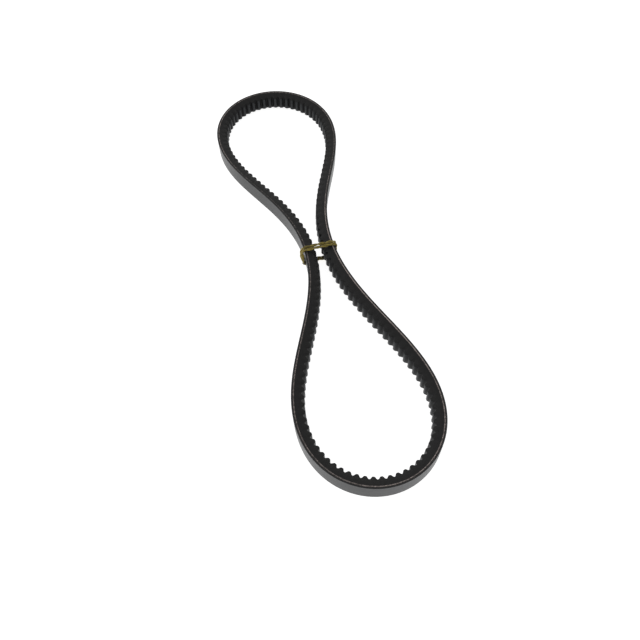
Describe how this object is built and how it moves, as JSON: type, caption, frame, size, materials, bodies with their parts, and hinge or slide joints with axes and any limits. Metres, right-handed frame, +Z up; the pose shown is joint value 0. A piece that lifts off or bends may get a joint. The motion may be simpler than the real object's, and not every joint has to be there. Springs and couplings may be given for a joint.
{
  "type": "v belt",
  "caption": "Endless cogged V belt of black rubber, pinched at the middle into two lobes by a gold twist tie, lying on its side.",
  "frame": {"origin": "on the table, under the middle of the belt's outline", "axes": "+Y along the two lobes, towards the far one, +X across them, +Z up across the belt's width"},
  "size_m": [0.0912, 0.3528, 0.0166],
  "materials": {
    "cover_rubber": "matt, dusty, worn grey",
    "cord_fibre": "cut polyester fibre ends",
    "cushion_rubber": "matt, ground",
    "cog_rubber": "matt, ground, fibre filled",
    "gold_sleeve": "gold film, satin",
    "tie_wire": "soft drawn wire"
  },
  "bodies": {
    "front_lobe": {"front_lobe_cover": "cover_rubber", "front_lobe_cord_1": "cord_fibre", "front_lobe_cord_2": "cord_fibre", "front_lobe_cord_3": "cord_fibre", "front_lobe_cord_4": "cord_fibre", "front_lobe_cord_5": "cord_fibre", "front_lobe_cord_6": "cord_fibre", "front_lobe_cord_7": "cord_fibre", "front_lobe_cord_8": "cord_fibre", "front_lobe_cushion": "cushion_rubber", "front_lobe_cogs": "cog_rubber"},
    "waist": {"waist_left_cover": "cover_rubber", "waist_left_cord_1": "cord_fibre", "waist_left_cord_2": "cord_fibre", "waist_left_cord_3": "cord_fibre", "waist_left_cord_4": "cord_fibre", "waist_left_cord_5": "cord_fibre", "waist_left_cord_6": "cord_fibre", "waist_left_cord_7": "cord_fibre", "waist_left_cord_8": "cord_fibre", "waist_left_cushion": "cushion_rubber", "waist_left_cogs": "cog_rubber", "waist_right_cover": "cover_rubber", "waist_right_cord_1": "cord_fibre", "waist_right_cord_2": "cord_fibre", "waist_right_cord_3": "cord_fibre", "waist_right_cord_4": "cord_fibre", "waist_right_cord_5": "cord_fibre", "waist_right_cord_6": "cord_fibre", "waist_right_cord_7": "cord_fibre", "waist_right_cord_8": "cord_fibre", "waist_right_cushion": "cushion_rubber", "waist_right_cogs": "cog_rubber"},
    "back_lobe": {"back_lobe_cover": "cover_rubber", "back_lobe_cord_1": "cord_fibre", "back_lobe_cord_2": "cord_fibre", "back_lobe_cord_3": "cord_fibre", "back_lobe_cord_4": "cord_fibre", "back_lobe_cord_5": "cord_fibre", "back_lobe_cord_6": "cord_fibre", "back_lobe_cord_7": "cord_fibre", "back_lobe_cord_8": "cord_fibre", "back_lobe_cushion": "cushion_rubber", "back_lobe_cogs": "cog_rubber"},
    "tie": {"tie_front_sleeve": "gold_sleeve", "tie_front_wire": "tie_wire", "tie_back_sleeve": "gold_sleeve", "tie_back_wire": "tie_wire", "tie_twist_sleeve": "gold_sleeve", "tie_twist_wire": "tie_wire"},
    "tail": {"tie_tail_sleeve": "gold_sleeve", "tie_tail_wire": "tie_wire"}
  },
  "joints": [
    {"name": "front_lobe_bend", "type": "hinge", "parent": "front_lobe", "child": "waist", "pos_m": [0.00236, -0.01294, 0.008], "axis": [0, 0, 1], "range_deg": [-8, 8], "stiffness_Nm_per_rad": 0.02},
    {"name": "back_lobe_bend", "type": "hinge", "parent": "waist", "child": "back_lobe", "pos_m": [0.00213, 0.01698, 0.008], "axis": [0, 0, 1], "range_deg": [-8, 8], "stiffness_Nm_per_rad": 0.02},
    {"name": "tie_slide", "type": "slide", "parent": "waist", "child": "tie", "axis": [0, 1, 0], "range_m": [-0.003, 0.003]},
    {"name": "tail_bend", "type": "hinge", "parent": "tie", "child": "tail", "pos_m": [-0.00969, -0.00338, 0.0066], "axis": [0, 1, 0], "range_deg": [0, 80]}
  ]
}
